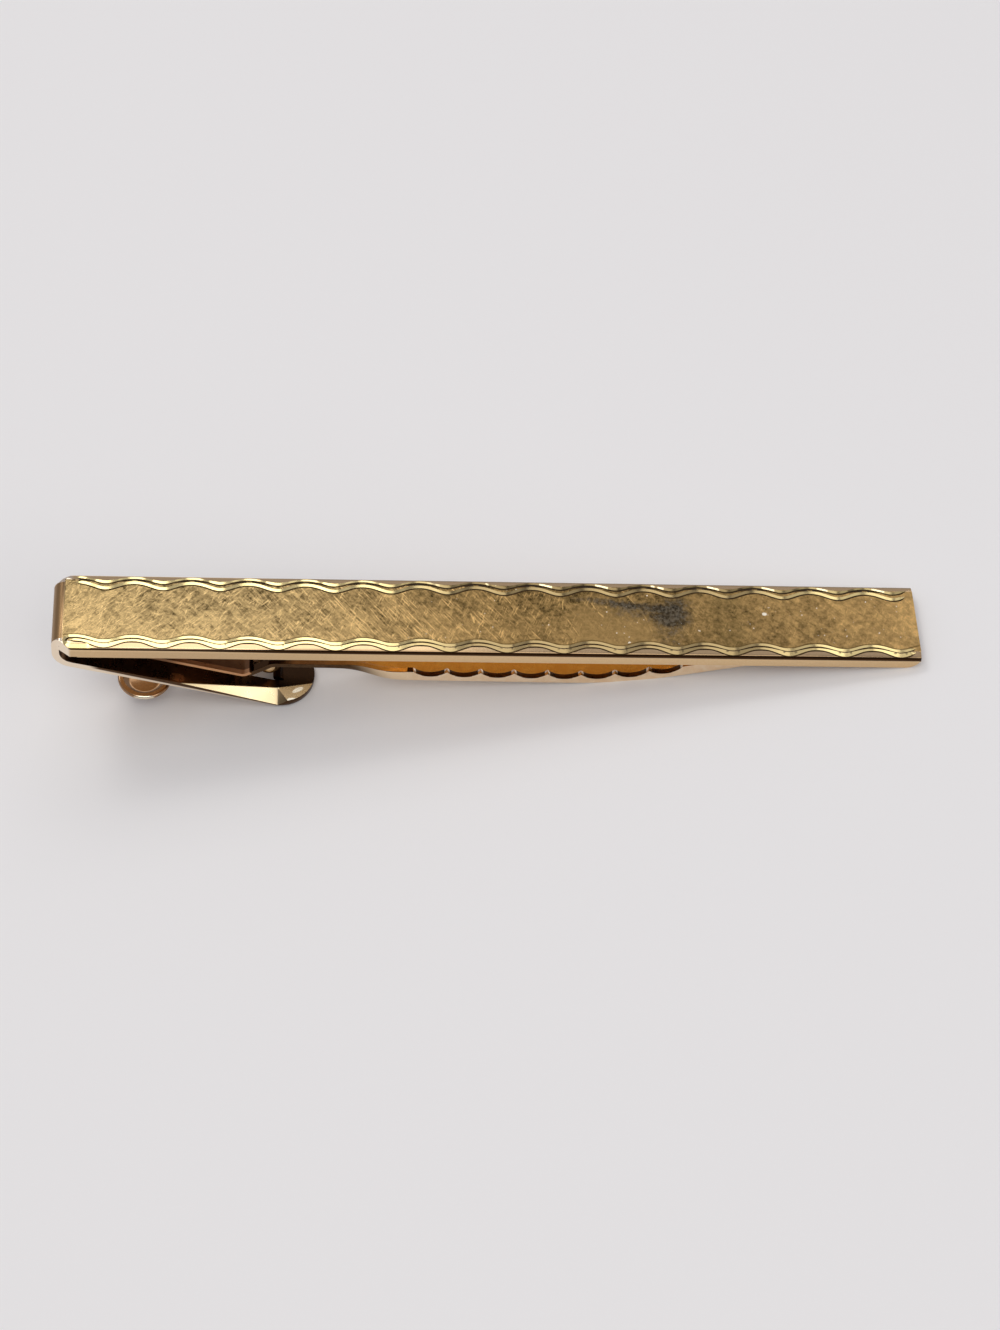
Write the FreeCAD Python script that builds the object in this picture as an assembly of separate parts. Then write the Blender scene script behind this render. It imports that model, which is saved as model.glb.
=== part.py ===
import FreeCAD, Part
import math
import os

# Tie clip: a brass bar folded back under itself carries a hinged, toothed jaw that a leaf spring holds shut.
# X runs along the bar from the fold to the free end, Z points out of the front face, and the origin is
# below the middle of the bar, level with the underside of the thumb pad. Millimetres and degrees.

# Front bar
bar_length = 60.0
bar_width = 6.3
bar_sheet = 0.5
bar_edge_height = 1.2
bar_edge_radius = 0.25
margin_width = 0.55
margin_drop = 0.18
bar_end_corner = 1.0
flange_start_gap = 0.15
flange_start_slant = 0.8
front_height = 8.5

# Fold and tongue
end_bend_radius = 0.85
end_face_height = 0.82
fold_radius = 1.67
corner_cut_setback = 0.4
corner_cut_length = 0.9
tongue_width = 4.9
tongue_slope = 17.0
tongue_bend_radius = 1.2
tongue_bend_setback = 0.5
tongue_reach = 18.1
bevel_start_reach = 8.6
bevel_width = 1.15
bevel_drop = 0.42
bevel_run_out = 0.8

# Tongue window, and the knuckle that its tab is rolled into
window_travel = 2.6
window_clearance = 0.15
knuckle_width = 1.0
knuckle_bend_radius = 0.5
knuckle_wrap = 260.0

# Hinge pin
pin_reach = 14.85
pin_drop = 0.85
pin_radius = 0.3
pin_seat_clearance = 0.01
pin_running_clearance = 0.03
pin_head_radius = 0.42
pin_head_height = 0.2

# Jaw lever
lever_sheet = 0.4
lever_side_clearance = 0.05
slot_margin = 0.3
ear_radius = 0.62
ear_tilt = 15.0
ear_root_length = 0.6
neck_width = 3.0
neck_setback = 0.45
neck_depth = 3.85
flare_start_reach = 19.4
flare_end_reach = 24.4
jaw_flat_reach = 35.6
jaw_depth = 4.05
jaw_curve_radius = 28.0
jaw_reach = 50.6
jaw_wall = 0.98
jaw_side_gap = 0.25
bite_gap = 0.04

# Jaw teeth
tooth_pitch = 2.35
tooth_depth = 0.5
tooth_count = 8
first_notch_reach = 26.0

# Tail and thumb pad
tail_slope = 36.0
tail_bend_radius = 0.8
tail_width = 1.15
tail_taper_length = 0.8
pad_reach = 6.15
pad_radius = 1.9
pad_height = 0.9
pad_floor_radius = 1.2

# Leaf spring
spring_sheet = 0.25
spring_width = 3.4
spring_seat_gap = 0.02
spring_fold_radius = 0.6
spring_fold_setback = 0.2
spring_upper_length = 6.0
spring_contact_setback = 1.75
spring_contact_gap = 0.03
spring_tip_length = 0.3
spring_tip_radius = 0.5

# Places that several pieces share
left_end = -bar_length / 2
right_end = bar_length / 2
bar_under = front_height - bar_sheet
slope = math.radians(tongue_slope)
plate_start_x = left_end + end_bend_radius
fold_centre_x = left_end + fold_radius
fold_centre_z = front_height - end_bend_radius - end_face_height
pin_x = left_end + pin_reach
neck_z = bar_under - neck_depth
pin_z = neck_z - pin_drop
curl_radius = pin_radius + pin_seat_clearance + bar_sheet / 2
window_end_x = pin_x + curl_radius + knuckle_bend_radius
slot_reach = curl_radius + bar_sheet / 2 + slot_margin
ear_inner = knuckle_width / 2 + lever_side_clearance
ear_outer = ear_inner + lever_sheet
neck_x = pin_x + neck_setback


def point(x, z, y=0.0):
    return FreeCAD.Vector(x, y, z)


def heading_vector(angle):
    return point(math.cos(angle), math.sin(angle))


def closed_face(edges):
    return Part.Face(Part.Wire(Part.__sortEdges__(edges)))


def outline_face(points):
    return Part.Face(Part.makePolygon(points + points[:1]))


def across(face, width):
    """Solid of the given width, centred on the middle plane, from a face drawn in XZ."""
    solid = face.extrude(FreeCAD.Vector(0, width, 0))
    solid.translate(FreeCAD.Vector(0, -width / 2, 0))
    return solid


def turned(vector, centre, angle):
    """The point carried round the centre in the XZ plane, counter-clockwise with X right and Z up."""
    arm = vector - centre
    x = arm.x * math.cos(angle) - arm.z * math.sin(angle)
    z = arm.x * math.sin(angle) + arm.z * math.cos(angle)
    return centre + point(x, z)


def bent_strip(start, heading, steps, sheet, width):
    """Sheet strip bent in XZ: each step is a straight run, then a turn in degrees at a mid-sheet radius."""
    place = FreeCAD.Vector(start)
    angle = math.radians(heading)
    sides = {1: [], -1: []}
    first = {}
    for run, turn, radius in steps:
        normal = heading_vector(angle + math.pi / 2)
        ahead = place + heading_vector(angle) * run
        for side, edges in sides.items():
            offset = normal * (side * sheet / 2)
            first.setdefault(side, place + offset)
            if run > 0:
                edges.append(Part.LineSegment(place + offset, ahead + offset).toShape())
        place = ahead
        if turn:
            swing = math.radians(turn)
            centre = place + normal * math.copysign(radius, turn)
            for side, edges in sides.items():
                begin = place + normal * (side * sheet / 2)
                middle = turned(begin, centre, swing / 2)
                end = turned(begin, centre, swing)
                edges.append(Part.Arc(begin, middle, end).toShape())
            place = turned(place, centre, swing)
            angle += swing
    normal = heading_vector(angle + math.pi / 2) * (sheet / 2)
    caps = [
        Part.LineSegment(first[1], first[-1]).toShape(),
        Part.LineSegment(place + normal, place - normal).toShape(),
    ]
    return across(closed_face(sides[1] + sides[-1] + caps), width)


def crossing_x(first, first_angle, second, second_angle):
    """Where two lines in XZ cross, each given by a point on it and its angle."""
    first_rise = math.tan(first_angle)
    second_rise = math.tan(second_angle)
    return (second.z - first.z + first.x * first_rise - second.x * second_rise) / (first_rise - second_rise)


def cross_cylinder(x, z, radius, length):
    """Cylinder lying across the clip, centred on the middle plane."""
    return Part.makeCylinder(radius, length, point(x, z, -length / 2), FreeCAD.Vector(0, 1, 0))


def curl_mid(outside_radius):
    """Mid-sheet radius of a bend in the bar with the given outside radius."""
    return outside_radius - bar_sheet / 2


def flange_outline():
    """Side view of a folded edge: slanted back at the fold, rounded off at the free end."""
    low = front_height - bar_edge_height
    start_x = plate_start_x + flange_start_gap
    corner_centre = point(right_end - bar_end_corner, low + bar_end_corner)
    corner_start = point(corner_centre.x, low)
    corner_end = point(right_end, corner_centre.z)
    corner_middle = corner_centre + heading_vector(-math.pi / 4) * bar_end_corner
    corners = [
        corner_end,
        point(right_end, front_height),
        point(start_x, front_height),
        point(start_x, bar_under),
        point(start_x + flange_start_slant, low),
        corner_start,
    ]
    edges = [Part.LineSegment(a, b).toShape() for a, b in zip(corners, corners[1:])]
    edges.append(Part.Arc(corner_start, corner_middle, corner_end).toShape())
    return closed_face(edges)


def margin_cuts():
    """Slivers above the two long margins of the front, which slope down to the edges."""
    cuts = []
    fall = margin_drop / margin_width
    for side in (1, -1):
        inner = bar_width / 2 - margin_width
        beyond = bar_width / 2 + margin_width
        corner = [
            point(left_end, front_height, side * inner),
            point(left_end, front_height - fall * (beyond - inner), side * beyond),
            point(left_end, front_height + bar_sheet, side * beyond),
            point(left_end, front_height + bar_sheet, side * inner),
        ]
        cuts.append(outline_face(corner).extrude(FreeCAD.Vector(bar_length, 0, 0)))
    return cuts


def bar_channel():
    """Front plate with sloping margins, both long edges folded down, and the folded edges rounded."""
    corner = point(plate_start_x, bar_under, -bar_width / 2)
    plate = Part.makeBox(right_end - plate_start_x, bar_width, bar_sheet, corner)
    side = flange_outline()
    flanges = across(side, bar_width).cut(across(side, bar_width - 2 * bar_sheet))
    channel = plate.fuse(flanges).removeSplitter().cut(margin_cuts())
    long_edges = []
    for edge in channel.Edges:
        box = edge.BoundBox
        on_top = box.ZMin > bar_under
        on_side = min(abs(box.YMax), abs(box.YMin)) > bar_width / 2 - margin_width / 2
        if on_top and on_side and box.XLength > bar_width:
            long_edges.append(edge)
    return channel.makeFillet(bar_edge_radius, long_edges)


def fold_shoulder():
    """Upper bend of the fold at the bar's full width."""
    start = point(plate_start_x, front_height - bar_sheet / 2)
    shoulder = bent_strip(start, 180.0, [(0.0, 90.0, curl_mid(end_bend_radius))], bar_sheet, bar_width)
    return shoulder.cut(margin_cuts())


def corner_cuts():
    """The two corners at the fold that are cut back from the bar's width to the tongue's."""
    cut_start = plate_start_x + corner_cut_setback
    cut_end = cut_start - corner_cut_length
    cuts = []
    for side in (1, -1):
        wide = side * bar_width / 2
        narrow = side * tongue_width / 2
        beyond = side * bar_width
        corner = [
            point(cut_start, 0, wide),
            point(cut_end, 0, narrow),
            point(left_end - bar_sheet, 0, narrow),
            point(left_end - bar_sheet, 0, beyond),
            point(cut_start, 0, beyond),
        ]
        cuts.append(outline_face(corner).extrude(FreeCAD.Vector(0, 0, front_height + bar_sheet)))
    return cuts


def tongue_foot():
    """Where the tongue's slope turns level, on the middle line of the sheet."""
    bend_x = window_end_x - tongue_bend_setback
    start = point(fold_centre_x, fold_centre_z) - heading_vector(math.pi / 2 - slope) * curl_mid(fold_radius)
    return start, point(bend_x, start.z - (bend_x - start.x) * math.tan(slope))


def bar_tongue():
    """Return leg: round the fold, down the slope and level again at the foot, with a round end."""
    leg_start, bend = tongue_foot()
    bend_tangent = tongue_bend_radius * math.tan(slope / 2)
    tip_x = left_end + tongue_reach
    steps = [
        (0.0, 90.0, curl_mid(end_bend_radius)),
        (end_face_height, 90.0 - tongue_slope, curl_mid(fold_radius)),
        ((bend - leg_start).Length - bend_tangent, tongue_slope, tongue_bend_radius),
        (tip_x - bend.x, 0.0, 0.0),
    ]
    start = point(plate_start_x, front_height - bar_sheet / 2)
    tongue = bent_strip(start, 180.0, steps, bar_sheet, tongue_width)
    end_radius = tongue_width / 2
    below = point(tip_x - end_radius, -front_height)
    round_end = Part.makeCylinder(end_radius, 2 * front_height, below)
    square_end = Part.makeBox(bar_length, 2 * bar_width, 2 * front_height, below - point(0, 0, bar_width))
    return tongue.cut(square_end.cut(round_end))


def tongue_bevels():
    """Tapered bevels on the tongue's long edges: they widen down the slope and run out on the foot."""
    leg_start, bend = tongue_foot()
    up = heading_vector(math.pi / 2 - slope) * (bar_sheet / 2)
    start_x = left_end + bevel_start_reach
    start = point(start_x, leg_start.z - (start_x - leg_start.x) * math.tan(slope)) + up
    widest = bend + up
    end = point(bend.x + bevel_run_out, bend.z + bar_sheet / 2)
    half = tongue_width / 2
    beyond = half + bevel_width
    fall = bevel_drop / bevel_width
    cuts = []
    for side in (1, -1):
        section = Part.makePolygon([
            point(widest.x, widest.z, side * (half - bevel_width)),
            point(widest.x, widest.z + bar_sheet, side * (half - bevel_width)),
            point(widest.x, widest.z + bar_sheet, side * beyond),
            point(widest.x, widest.z - fall * 2 * bevel_width, side * beyond),
            point(widest.x, widest.z, side * (half - bevel_width)),
        ])
        for tip in (start, end):
            apex = Part.Vertex(point(tip.x, tip.z, side * half))
            cuts.append(Part.makeLoft([apex, section], True, True))
    return cuts


def tail_window(line):
    """Opening in the tongue: wide where the lever's tail swings, narrow where the knuckle's tab is cut."""
    leg_start = tongue_foot()[0]
    fall = math.radians(tail_slope)
    tail_side = heading_vector(fall + math.pi / 2) * (lever_sheet / 2)
    tongue_side = heading_vector(math.pi / 2 - slope) * (bar_sheet / 2)
    knee = tail_knee(line)
    start_x = crossing_x(knee + tail_side, fall, leg_start - tongue_side, -slope) - window_travel
    narrow_x = crossing_x(knee - tail_side, fall, leg_start + tongue_side, -slope) + window_clearance
    openings = []
    for from_x, to_x, inside in ((start_x, narrow_x, tail_width), (narrow_x, window_end_x, knuckle_width)):
        width = inside + 2 * window_clearance
        corner = point(from_x, -front_height, -width / 2)
        openings.append(Part.makeBox(to_x - from_x, width, leg_start.z + front_height, corner))
    return openings


def hinge_knuckle():
    """Tab of the tongue, turned up at the end of the window and rolled round the hinge pin."""
    bend = tongue_foot()[1]
    rise = pin_z - bend.z - knuckle_bend_radius
    steps = [
        (bar_sheet, -90.0, knuckle_bend_radius),
        (rise, knuckle_wrap, curl_radius),
    ]
    start = point(window_end_x + bar_sheet, bend.z)
    return bent_strip(start, 180.0, steps, bar_sheet, knuckle_width)


def front_bar():
    tongue = bar_tongue().cut(tail_window(LeverLine()) + tongue_bevels())
    bar = bar_channel().fuse(fold_shoulder()).cut(corner_cuts())
    return bar.fuse([tongue, hinge_knuckle()]).removeSplitter()


def hinge_pin():
    """Plain pin with both ends riveted over into low domes outside the lever's ears."""
    seat = ear_outer + lever_side_clearance
    dome = (pin_head_radius ** 2 + pin_head_height ** 2) / (2 * pin_head_height)
    half_angle = math.asin(pin_head_radius / dome) / 2
    edges = []
    for side in (1, -1):
        rim = FreeCAD.Vector(pin_head_radius, side * seat, 0)
        neck = FreeCAD.Vector(pin_radius, side * seat, 0)
        crown = FreeCAD.Vector(0, side * (seat + pin_head_height), 0)
        centre = FreeCAD.Vector(0, crown.y - side * dome, 0)
        middle = centre + FreeCAD.Vector(math.sin(half_angle), side * math.cos(half_angle), 0) * dome
        edges.append(Part.Arc(crown, middle, rim).toShape())
        edges.append(Part.LineSegment(rim, neck).toShape())
    edges.append(Part.LineSegment(neck, FreeCAD.Vector(pin_radius, seat, 0)).toShape())
    edges.append(Part.LineSegment(crown, FreeCAD.Vector(0, -crown.y, 0)).toShape())
    pin = closed_face(edges).revolve(FreeCAD.Vector(0, 0, 0), FreeCAD.Vector(0, 1, 0), 360)
    pin.translate(point(pin_x, pin_z))
    return pin


class LeverLine:
    """Underside of the lever: a straight neck and floor, an arc, then a straight rise to the jaw's tip.

    The rim of the tip stops a bite gap below the bar. An offset moves the whole line up through the sheet.
    """

    def __init__(self):
        self.neck = point(neck_x, neck_z)
        self.flat_end = point(left_end + jaw_flat_reach, bar_under - jaw_depth)
        run = self.flat_end - self.neck
        self.flat_angle = math.atan2(run.z, run.x)
        up = heading_vector(self.flat_angle + math.pi / 2)
        self.centre = self.flat_end + up * jaw_curve_radius
        rim = point(left_end + jaw_reach, bar_under - bite_gap)
        arm = self.centre - rim
        lean = math.atan2(arm.x, arm.z)
        self.rise_angle = -lean - math.acos((jaw_curve_radius - jaw_wall) / arm.Length)
        self.tip = rim - heading_vector(self.rise_angle + math.pi / 2) * jaw_wall

    def straight_point(self, x, offset):
        """Point on the offset straight floor at x."""
        base = self.neck.z + (x - self.neck.x) * math.tan(self.flat_angle)
        return point(x, base + offset / math.cos(self.flat_angle))

    def curve_point(self, angle, offset):
        return self.centre - heading_vector(angle + math.pi / 2) * (jaw_curve_radius - offset)

    def tip_point(self, offset):
        return self.tip + heading_vector(self.rise_angle + math.pi / 2) * offset

    def at(self, x, offset):
        """Point on the offset line at x, and the line's angle there."""
        if x <= self.curve_point(self.flat_angle, offset).x:
            return self.straight_point(x, offset), self.flat_angle
        rise_start = self.curve_point(self.rise_angle, offset)
        if x >= rise_start.x:
            return rise_start + point(1, math.tan(self.rise_angle)) * (x - rise_start.x), self.rise_angle
        angle = math.asin((x - self.centre.x) / (jaw_curve_radius - offset))
        return self.curve_point(angle, offset), angle

    def edges(self, start, offset):
        """Edges from a point on the straight floor to the tip."""
        turn = self.curve_point(self.flat_angle, offset)
        rise = self.curve_point(self.rise_angle, offset)
        middle = self.curve_point((self.flat_angle + self.rise_angle) / 2, offset)
        return [
            Part.LineSegment(start, turn).toShape(),
            Part.Arc(turn, middle, rise).toShape(),
            Part.LineSegment(rise, self.tip_point(offset)).toShape(),
        ]


def lever_plan(inset):
    """Plan of neck and jaw, inset from the edge: a narrow neck flares to the jaw and its round tip."""
    neck = neck_width / 2 - inset
    jaw = bar_width / 2 - bar_sheet - jaw_side_gap - inset
    start = neck_x
    flare_start = left_end + flare_start_reach
    flare_end = left_end + flare_end_reach
    flare_middle = (flare_start + flare_end) / 2
    round_x = left_end + jaw_reach - inset - jaw
    edges = [Part.LineSegment(point(start, 0, -neck), point(start, 0, neck)).toShape()]
    for side in (1, -1):
        flare = Part.BezierCurve()
        flare.setPoles([
            point(flare_start, 0, side * neck),
            point(flare_middle, 0, side * neck),
            point(flare_middle, 0, side * jaw),
            point(flare_end, 0, side * jaw),
        ])
        edges.append(flare.toShape())
        for y, from_x, to_x in ((side * neck, start, flare_start), (side * jaw, flare_end, round_x)):
            edges.append(Part.LineSegment(point(from_x, 0, y), point(to_x, 0, y)).toShape())
    tip = Part.Arc(point(round_x, 0, -jaw), point(round_x + jaw, 0, 0), point(round_x, 0, jaw))
    edges.append(tip.toShape())
    return closed_face(edges).extrude(FreeCAD.Vector(0, 0, front_height))


def jaw_trough(line):
    """Neck and jaw pressed from one sheet: a floor with side walls that grow along the flare."""
    neck_top = line.straight_point(neck_x, lever_sheet)
    ramp_start = line.straight_point(left_end + flare_start_reach, lever_sheet)
    ramp_end = line.straight_point(left_end + flare_end_reach, jaw_wall)
    side = line.edges(line.neck, 0.0) + line.edges(ramp_end, jaw_wall)
    side.append(Part.LineSegment(line.tip, line.tip_point(jaw_wall)).toShape())
    side.append(Part.LineSegment(line.neck, neck_top).toShape())
    side.append(Part.LineSegment(neck_top, ramp_start).toShape())
    side.append(Part.LineSegment(ramp_start, ramp_end).toShape())
    outer = across(closed_face(side), bar_width).common(lever_plan(0.0))
    sky = point(0, front_height)
    tip_floor = line.tip_point(lever_sheet)
    tip_sky = point(tip_floor.x, sky.z)
    ramp_sky = point(ramp_start.x, sky.z)
    hollow = line.edges(ramp_start, lever_sheet)
    hollow.append(Part.LineSegment(tip_floor, tip_sky).toShape())
    hollow.append(Part.LineSegment(tip_sky, ramp_sky).toShape())
    hollow.append(Part.LineSegment(ramp_sky, ramp_start).toShape())
    inside = across(closed_face(hollow), bar_width).common(lever_plan(lever_sheet))
    return outer.cut(inside)


def tooth_notches(line):
    """Round notches along both walls, leaving a sharp tooth between each pair."""
    half = tooth_pitch / 2
    radius = (half * half + tooth_depth * tooth_depth) / (2 * tooth_depth)
    notches = []
    for index in range(tooth_count):
        rim, angle = line.at(left_end + first_notch_reach + index * tooth_pitch, jaw_wall)
        centre = rim + heading_vector(angle + math.pi / 2) * (radius - tooth_depth)
        notches.append(cross_cylinder(centre.x, centre.z, radius, bar_width))
    return notches


def tail_knee(line):
    """Corner of the tail's middle line, where the neck's line meets the line of the slope."""
    turn = math.radians(tail_slope) - line.flat_angle
    tangent = tail_bend_radius * math.tan(turn / 2)
    return line.straight_point(neck_x, lever_sheet / 2) - heading_vector(line.flat_angle) * tangent


def hinge_slot():
    """Slot in the lever over the knuckle, from whose sides the two ears are turned down."""
    corner = point(pin_x - slot_reach, pin_z - slot_reach, -ear_outer)
    return Part.makeBox(2 * slot_reach, 2 * ear_outer, front_height, corner)


def hinge_ears(line):
    """Two ears turned down from the sides of the slot, each round about the hinge pin."""
    knee = tail_knee(line)
    pin = point(pin_x, pin_z)
    left_angle = math.pi - math.radians(ear_tilt)
    right_angle = -math.radians(ear_tilt)
    left = pin + heading_vector(left_angle) * ear_radius
    right = pin + heading_vector(right_angle) * ear_radius
    bottom = pin + heading_vector(-math.pi / 2) * ear_radius
    root = line.straight_point(neck_x + ear_root_length, lever_sheet / 2)
    tail_root = point(left.x, knee.z - (knee.x - left.x) * math.tan(math.radians(tail_slope)))
    corners = [right, root, knee, tail_root, left]
    edges = [Part.LineSegment(a, b).toShape() for a, b in zip(corners, corners[1:])]
    edges.append(Part.Arc(left, bottom, right).toShape())
    face = closed_face(edges)
    return across(face, 2 * ear_outer).cut(across(face, 2 * ear_inner))


def tail_plan():
    """Plan of the tail: as wide as the neck beside the hinge slot, then narrowed to pass the window."""
    neck_half = neck_width / 2
    tail_half = tail_width / 2
    taper_x = pin_x - slot_reach - slot_margin
    far_x = neck_x + neck_width
    right_side = [
        point(left_end, 0, tail_half),
        point(taper_x - tail_taper_length, 0, tail_half),
        point(taper_x, 0, neck_half),
        point(far_x, 0, neck_half),
    ]
    left_side = [point(corner.x, 0, -corner.y) for corner in reversed(right_side)]
    return outline_face(right_side + left_side).extrude(FreeCAD.Vector(0, 0, front_height))


def tail(line):
    """Tail that drops from the neck through the tongue's window, then runs level to the thumb pad."""
    fall = math.radians(tail_slope)
    turn = fall - line.flat_angle
    knee = tail_knee(line)
    drop = knee.z - (pad_height - lever_sheet / 2)
    knee_tangent = tail_bend_radius * math.tan(turn / 2)
    foot_tangent = tail_bend_radius * math.tan(fall / 2)
    foot_x = knee.x - drop / math.tan(fall)
    pad_x = left_end + pad_reach
    start = line.straight_point(neck_x + ear_root_length, lever_sheet / 2)
    steps = [
        ((start - knee).Length - knee_tangent, math.degrees(turn), tail_bend_radius),
        (drop / math.sin(fall) - knee_tangent - foot_tangent, -tail_slope, tail_bend_radius),
        (foot_x - foot_tangent - pad_x, 0.0, 0.0),
    ]
    strip = bent_strip(start, 180.0 + math.degrees(line.flat_angle), steps, lever_sheet, neck_width)
    strip = strip.common(tail_plan())
    return strip.cut(Part.makeCylinder(pad_radius - lever_sheet, pad_height, point(pad_x, 0)))


def thumb_pad():
    """Round dished pad: a flat floor, a sloping wall and an upright rim of even sheet."""
    wall_foot = pad_radius - lever_sheet
    rim_low = (pad_height + lever_sheet) / 2
    profile = [
        point(0, 0),
        point(pad_floor_radius, 0),
        point(pad_radius, rim_low),
        point(pad_radius, pad_height),
        point(wall_foot, pad_height),
        point(wall_foot, rim_low),
        point(pad_floor_radius - lever_sheet / 2, lever_sheet),
        point(0, lever_sheet),
    ]
    pad = outline_face(profile).revolve(FreeCAD.Vector(0, 0, 0), FreeCAD.Vector(0, 0, 1), 360)
    pad.translate(point(left_end + pad_reach, 0))
    return pad


def jaw_lever():
    line = LeverLine()
    lever = jaw_trough(line).cut(tooth_notches(line))
    lever = lever.fuse([tail(line), thumb_pad()]).cut(hinge_slot()).fuse(hinge_ears(line))
    lever = lever.cut(cross_cylinder(pin_x, pin_z, pin_radius + pin_running_clearance, bar_width))
    return lever.removeSplitter()


def leaf_spring():
    """Leaf folded in the bar's bend: one leg lies under the bar, the other ends flat on the lever's tail."""
    line = LeverLine()
    outer = bar_under - spring_seat_gap
    fold = point(fold_centre_x + spring_fold_setback, outer - spring_fold_radius)
    middle_radius = spring_fold_radius - spring_sheet / 2
    tail_angle = math.radians(tail_slope)
    lift = (lever_sheet + spring_sheet) / 2 + spring_contact_gap
    knee = tail_knee(line)
    contact_x = pin_x - spring_contact_setback
    contact_z = knee.z - (knee.x - contact_x) * math.tan(tail_angle) + lift / math.cos(tail_angle)
    arm = point(contact_x, contact_z) - fold
    leg_angle = math.atan2(arm.z, arm.x) + math.asin(middle_radius / arm.Length)
    leg_length = math.sqrt(arm.Length ** 2 - middle_radius ** 2)
    tip_turn = tail_angle - leg_angle
    tip_tangent = spring_tip_radius * math.tan(tip_turn / 2)
    steps = [
        (spring_upper_length, 180.0 + math.degrees(leg_angle), middle_radius),
        (leg_length - tip_tangent, math.degrees(tip_turn), spring_tip_radius),
        (spring_tip_length, 0.0, 0.0),
    ]
    start = fold + point(spring_upper_length, middle_radius)
    return bent_strip(start, 180.0, steps, spring_sheet, spring_width)


os.makedirs("parts", exist_ok=True)
pieces = {
    "front_bar": front_bar(),
    "hinge_pin": hinge_pin(),
    "jaw_lever": jaw_lever(),
    "leaf_spring": leaf_spring(),
}
for name, shape in pieces.items():
    shape.exportStep("parts/" + name + ".step")
    print(name, "solids", len(shape.Solids), "valid", shape.isValid(), "volume", round(shape.Volume, 3))
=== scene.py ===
import bpy
import math
from mathutils import Matrix, Vector


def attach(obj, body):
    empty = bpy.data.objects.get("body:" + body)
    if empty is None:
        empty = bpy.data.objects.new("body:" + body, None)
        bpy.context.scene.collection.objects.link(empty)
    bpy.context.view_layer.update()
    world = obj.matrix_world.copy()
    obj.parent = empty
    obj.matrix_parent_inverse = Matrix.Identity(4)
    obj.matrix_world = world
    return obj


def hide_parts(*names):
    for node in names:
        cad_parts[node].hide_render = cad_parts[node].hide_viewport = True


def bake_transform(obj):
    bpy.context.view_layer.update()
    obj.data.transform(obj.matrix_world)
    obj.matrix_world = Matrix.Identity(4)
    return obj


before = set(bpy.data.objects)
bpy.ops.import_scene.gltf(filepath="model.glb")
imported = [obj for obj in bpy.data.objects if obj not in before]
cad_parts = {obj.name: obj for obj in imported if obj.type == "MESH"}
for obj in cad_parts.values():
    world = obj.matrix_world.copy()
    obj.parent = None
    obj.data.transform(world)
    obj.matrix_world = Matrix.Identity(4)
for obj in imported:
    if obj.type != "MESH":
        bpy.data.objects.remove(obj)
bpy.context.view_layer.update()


# Front bar
# One strip of gilded brass: a satin front between two bright-cut wavy borders, polished edges folded down,
# and the polished tongue folded back underneath. The border lines are engraved with a V-shaped cutter.

mm = 0.001
front = 8.5
sheet = 0.5
edge = 3.15
edge_low = 7.2
inside_wall = edge - 0.45
fold_right = -27.5
fold_width = 2.38
margin = 0.55
margin_fall = 0.18 / margin
tongue_start = -28.745
tongue_slope = math.tan(math.radians(17.0))
tongue_high = 6.8
edge_round = 0.03
sharp_edge = math.radians(40)
merge_gap = 0.0005
flat_angle = math.radians(0.3)


def pick(piece):
    """Makes a piece the active object and the only selected one."""
    bpy.ops.object.select_all(action="DESELECT")
    bpy.context.view_layer.objects.active = piece
    piece.select_set(True)


def merged_copy(node, name):
    """A new object with the CAD node's mesh, its doubled vertices merged and flat faces joined."""
    piece = bpy.data.objects.new(name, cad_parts[node].data.copy())
    bpy.context.scene.collection.objects.link(piece)
    pick(piece)
    bpy.ops.mesh.customdata_custom_splitnormals_clear()
    bpy.ops.object.mode_set(mode="EDIT")
    bpy.ops.mesh.select_all(action="SELECT")
    bpy.ops.mesh.remove_doubles(threshold=merge_gap * mm)
    bpy.ops.mesh.dissolve_limited(angle_limit=flat_angle)
    bpy.ops.mesh.normals_make_consistent(inside=False)
    bpy.ops.object.mode_set(mode="OBJECT")
    piece.data.materials.clear()
    return piece


def modify(piece, kind, **settings):
    """Adds a modifier and applies it."""
    bpy.context.view_layer.objects.active = piece
    modifier = piece.modifiers.new(kind.lower(), kind)
    for name, value in settings.items():
        setattr(modifier, name, value)
    bpy.ops.object.modifier_apply(modifier=modifier.name)


def soften(piece):
    """Rounds the sharp edges by a small width."""
    modify(piece, "BEVEL", width=edge_round * mm, segments=2, limit_method="ANGLE", angle_limit=sharp_edge)


def smooth(piece, angle):
    """Smooth shading up to an angle, with large faces kept flat."""
    pick(piece)
    bpy.ops.object.shade_smooth_by_angle(angle=math.radians(angle))
    modify(piece, "WEIGHTED_NORMAL", keep_sharp=True, weight=50)


def sheet_block(length, wall, height, place, turn):
    """A block of sheet metal, turned about the upright."""
    bpy.ops.object.select_all(action="DESELECT")
    bpy.ops.mesh.primitive_cube_add(size=mm, location=place * mm, rotation=(0.0, 0.0, turn))
    block = bpy.context.object
    block.scale = (length, wall, height)
    bpy.ops.object.transform_apply(location=True, rotation=True, scale=True)
    return block


bar = merged_copy("front_bar", "front_bar_look")
soften(bar)

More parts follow.
